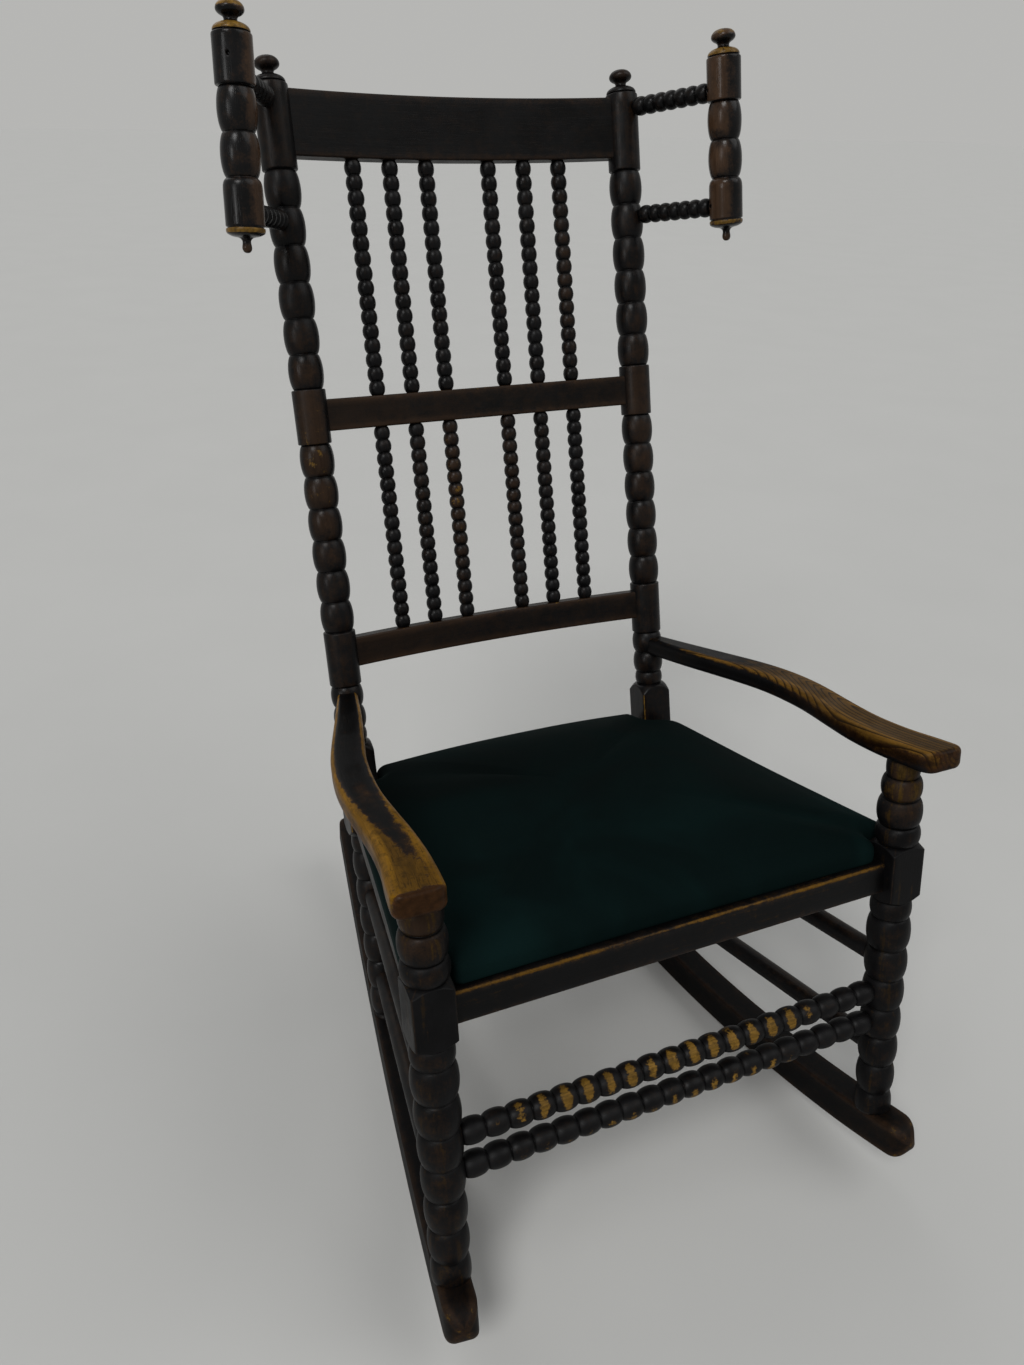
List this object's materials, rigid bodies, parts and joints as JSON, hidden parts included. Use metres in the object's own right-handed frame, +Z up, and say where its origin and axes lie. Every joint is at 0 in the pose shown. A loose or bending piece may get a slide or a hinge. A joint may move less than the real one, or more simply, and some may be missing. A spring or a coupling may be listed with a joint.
{
  "type": "bobbin rocking chair",
  "caption": "High-backed rocking chair of bobbin-turned wood with a spindle back, head wings on short arms, flat armrests and a lift-out velvet seat; it rocks on curved runners.",
  "frame": {"origin": "on the floor, in the middle of the chair's footprint, midway between the flats that the rockers rest on", "axes": "+Z up, the sitter faces -Y, +X to the right seen from the front"},
  "size_m": [0.6172, 0.8332, 1.1975],
  "materials": {
    "ebonised_wood": "satin",
    "worn_dark_wood": "satin",
    "worn_golden_wood": "satin",
    "velvet": "matte",
    "frame_wood": "matte",
    "webbing": "matte"
  },
  "bodies": {
    "chair_frame": {"left_rocker": "worn_dark_wood", "left_front_leg": "ebonised_wood", "left_back_post": "ebonised_wood", "left_arm": "worn_golden_wood", "left_wing_post": "worn_dark_wood", "left_upper_wing_arm": "ebonised_wood", "left_upper_wing_pin": "ebonised_wood", "left_upper_side_stretcher": "ebonised_wood", "left_lower_wing_arm": "ebonised_wood", "left_lower_wing_pin": "ebonised_wood", "left_lower_side_stretcher": "ebonised_wood", "left_seat_rail": "ebonised_wood", "right_rocker": "worn_dark_wood", "right_front_leg": "ebonised_wood", "right_back_post": "ebonised_wood", "right_arm": "worn_golden_wood", "right_wing_post": "worn_dark_wood", "right_upper_wing_arm": "ebonised_wood", "right_upper_wing_pin": "ebonised_wood", "right_upper_side_stretcher": "ebonised_wood", "right_lower_wing_arm": "ebonised_wood", "right_lower_wing_pin": "ebonised_wood", "right_lower_side_stretcher": "ebonised_wood", "right_seat_rail": "ebonised_wood", "front_seat_rail": "worn_dark_wood", "back_seat_rail": "ebonised_wood", "crest_rail": "worn_dark_wood", "mid_rail": "worn_dark_wood", "lower_rail": "worn_dark_wood", "upper_front_stretcher": "ebonised_wood", "upper_spindle_1": "ebonised_wood", "upper_spindle_2": "ebonised_wood", "upper_spindle_3": "ebonised_wood", "upper_spindle_4": "ebonised_wood", "upper_spindle_5": "ebonised_wood", "upper_spindle_6": "ebonised_wood", "lower_front_stretcher": "ebonised_wood", "lower_spindle_1": "ebonised_wood", "lower_spindle_2": "ebonised_wood", "lower_spindle_3": "ebonised_wood", "lower_spindle_4": "ebonised_wood", "lower_spindle_5": "ebonised_wood", "lower_spindle_6": "ebonised_wood", "back_stretcher": "ebonised_wood"},
    "loose_seat": {"seat_frame_front": "frame_wood", "seat_frame_back": "frame_wood", "seat_frame_left": "frame_wood", "seat_frame_right": "frame_wood", "seat_webbing": "webbing", "seat_pad": "velvet"}
  },
  "joints": [
    {"name": "seat_lift", "type": "slide", "parent": "chair_frame", "child": "loose_seat", "axis": [0, 0.1822, 0.9833], "range_m": [0, 0.06]}
  ]
}
